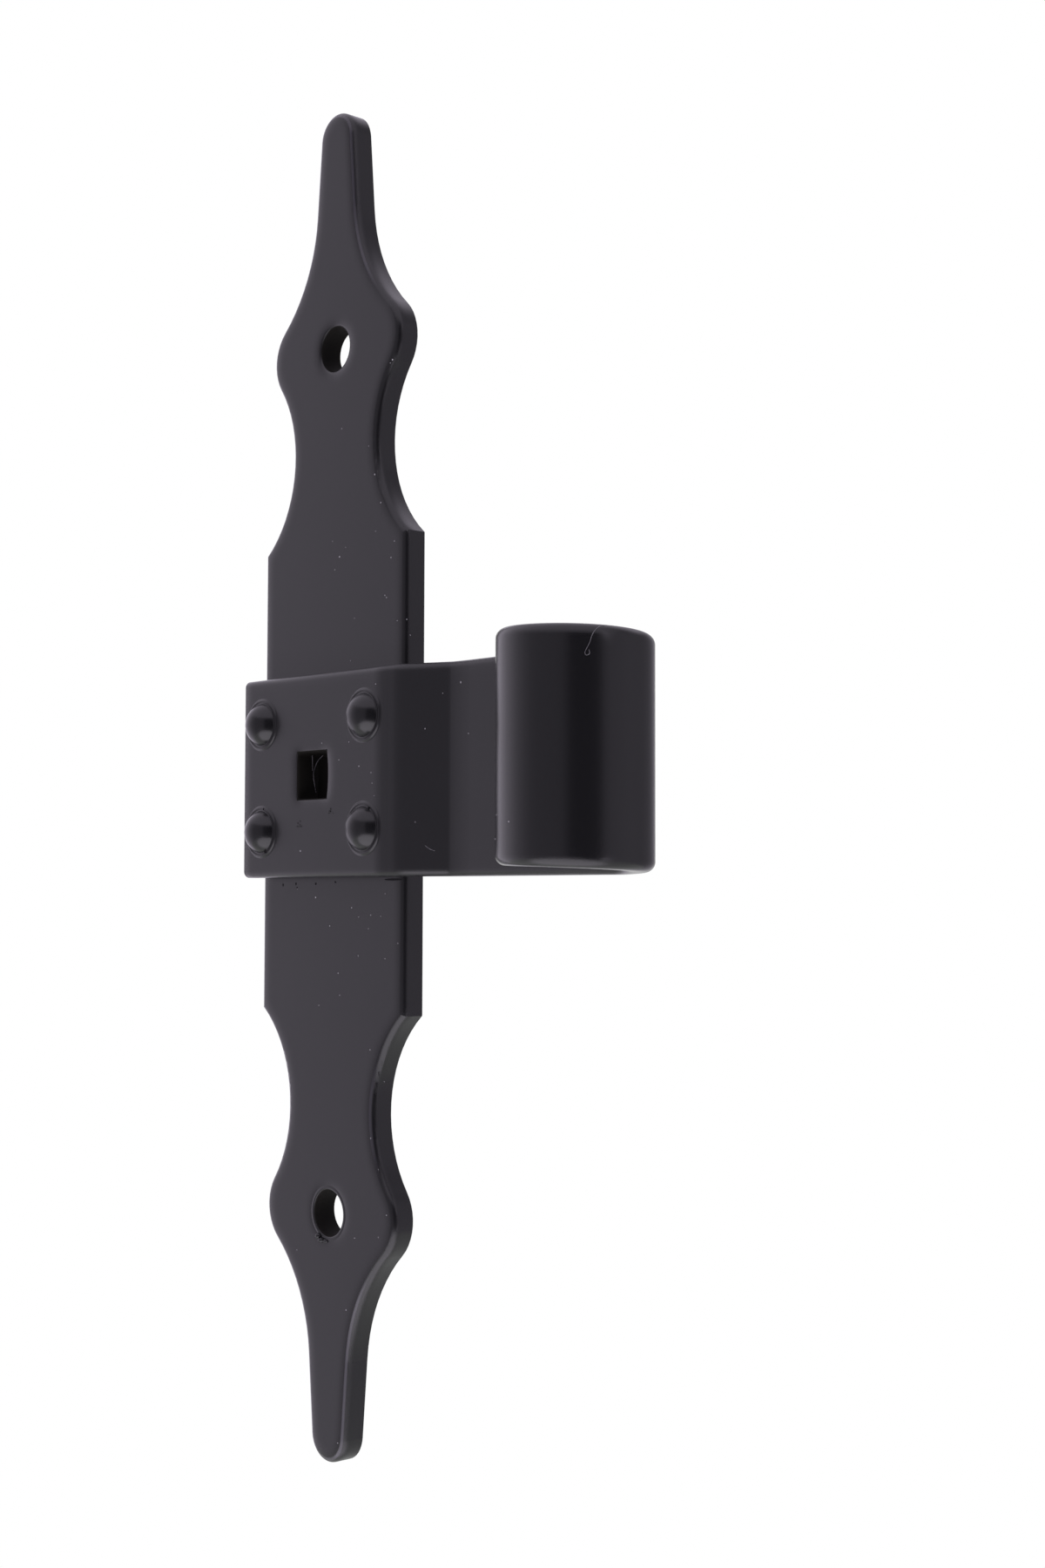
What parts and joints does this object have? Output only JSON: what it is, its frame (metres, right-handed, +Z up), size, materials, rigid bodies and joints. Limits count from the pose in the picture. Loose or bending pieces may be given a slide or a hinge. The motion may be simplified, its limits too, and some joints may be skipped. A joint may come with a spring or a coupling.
{
  "type": "gate strap hinge",
  "caption": "Upright ornamental plate with screw holes, crossed by a riveted, cranked strap that has a square bolt hole and ends in a rolled eye for a pintle.",
  "frame": {"origin": "centre of the square bolt hole, in the plane of the plate's back that lies on the gate", "axes": "+X along the strap to the eye, +Z up along the plate, -Y out of the front towards a person facing the gate"},
  "size_m": [0.1135, 0.027, 0.267],
  "materials": {
    "powder_coat": "satin black powder coat over steel"
  },
  "bodies": {
    "root": {"cross_plate": "powder_coat", "hinge_strap": "powder_coat", "rivet_upper_left": "powder_coat", "rivet_upper_right": "powder_coat", "rivet_lower_left": "powder_coat", "rivet_lower_right": "powder_coat"}
  },
  "joints": []
}
